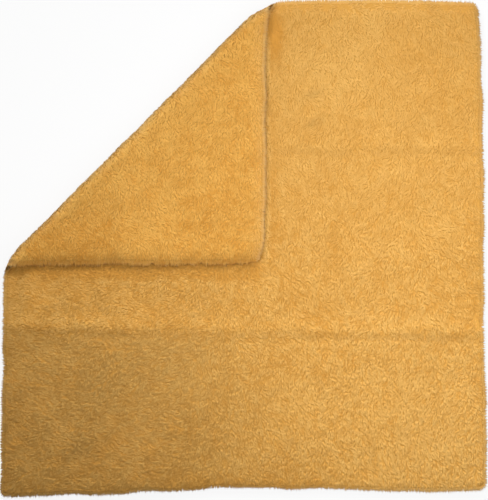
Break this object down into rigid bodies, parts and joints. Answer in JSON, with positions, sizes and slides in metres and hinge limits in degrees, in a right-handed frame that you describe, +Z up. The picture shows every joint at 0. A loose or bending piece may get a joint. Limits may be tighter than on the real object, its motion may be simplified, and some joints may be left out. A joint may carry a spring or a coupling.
{
  "type": "microfiber cloth",
  "caption": "Plush double-sided square cleaning cloth with a heat-sealed edge, lying flat with one corner folded over onto its face; the corner opens flat.",
  "frame": {"origin": "middle of the folded cloth's footprint, on the surface it lies on", "axes": "+Z up from the surface; +X right and +Y away, along the cloth's sides, with the folded corner at -X +Y"},
  "size_m": [0.3965, 0.4072, 0.0169],
  "materials": {
    "face_pile": "plush microfiber pile, golden orange, matt with a soft sheen",
    "back_pile": "plush microfiber pile, golden orange, matt with a soft sheen",
    "ground_knit": "fine warp knit, golden orange",
    "sealed_edge": "heat-fused fibre, pale and slightly glossy"
  },
  "bodies": {
    "main_panel": {"main_ground_knit": "ground_knit", "main_face_pile": "face_pile", "main_back_pile": "back_pile", "main_edge_left": "sealed_edge", "main_edge_bottom": "sealed_edge", "main_edge_right": "sealed_edge", "main_edge_top": "sealed_edge"},
    "bend_1": {"bend_1_ground_knit": "ground_knit", "bend_1_face_pile": "face_pile", "bend_1_back_pile": "back_pile"},
    "bend_2": {"bend_2_ground_knit": "ground_knit", "bend_2_face_pile": "face_pile", "bend_2_back_pile": "back_pile"},
    "bend_3": {"bend_3_ground_knit": "ground_knit", "bend_3_face_pile": "face_pile", "bend_3_back_pile": "back_pile"},
    "bend_4": {"bend_4_ground_knit": "ground_knit", "bend_4_face_pile": "face_pile", "bend_4_back_pile": "back_pile"},
    "corner_flap": {"corner_ground_knit": "ground_knit", "corner_face_pile": "face_pile", "corner_back_pile": "back_pile", "corner_edge_left": "sealed_edge", "corner_edge_top": "sealed_edge"}
  },
  "joints": [
    {"name": "corner_fold", "type": "hinge", "parent": "main_panel", "child": "corner_flap", "pos_m": [-0.09208, 0.09208, 0.00845], "axis": [-0.7071, -0.7071, 0], "range_deg": [0, 180]},
    {"name": "bend_turn_1", "type": "hinge", "parent": "main_panel", "child": "bend_1", "pos_m": [-0.0883, 0.0883, 0.00415], "axis": [-0.7071, -0.7071, 0], "range_deg": [0, 45]},
    {"name": "bend_turn_2", "type": "hinge", "parent": "bend_1", "child": "bend_2", "pos_m": [-0.09008, 0.09008, 0.00667], "axis": [-0.7071, -0.7071, 0], "range_deg": [0, 45]},
    {"name": "bend_turn_3", "type": "hinge", "parent": "bend_4", "child": "bend_3", "pos_m": [-0.09008, 0.09008, 0.01023], "axis": [0.7071, 0.7071, 0], "range_deg": [0, 45]},
    {"name": "bend_turn_4", "type": "hinge", "parent": "corner_flap", "child": "bend_4", "pos_m": [-0.0883, 0.0883, 0.01275], "axis": [0.7071, 0.7071, 0], "range_deg": [0, 45]}
  ],
  "couplings": [
    {"joint": "bend_turn_1", "follows": "corner_fold", "ratio": 0.25},
    {"joint": "bend_turn_2", "follows": "corner_fold", "ratio": 0.25},
    {"joint": "bend_turn_3", "follows": "corner_fold", "ratio": 0.25},
    {"joint": "bend_turn_4", "follows": "corner_fold", "ratio": 0.25}
  ]
}
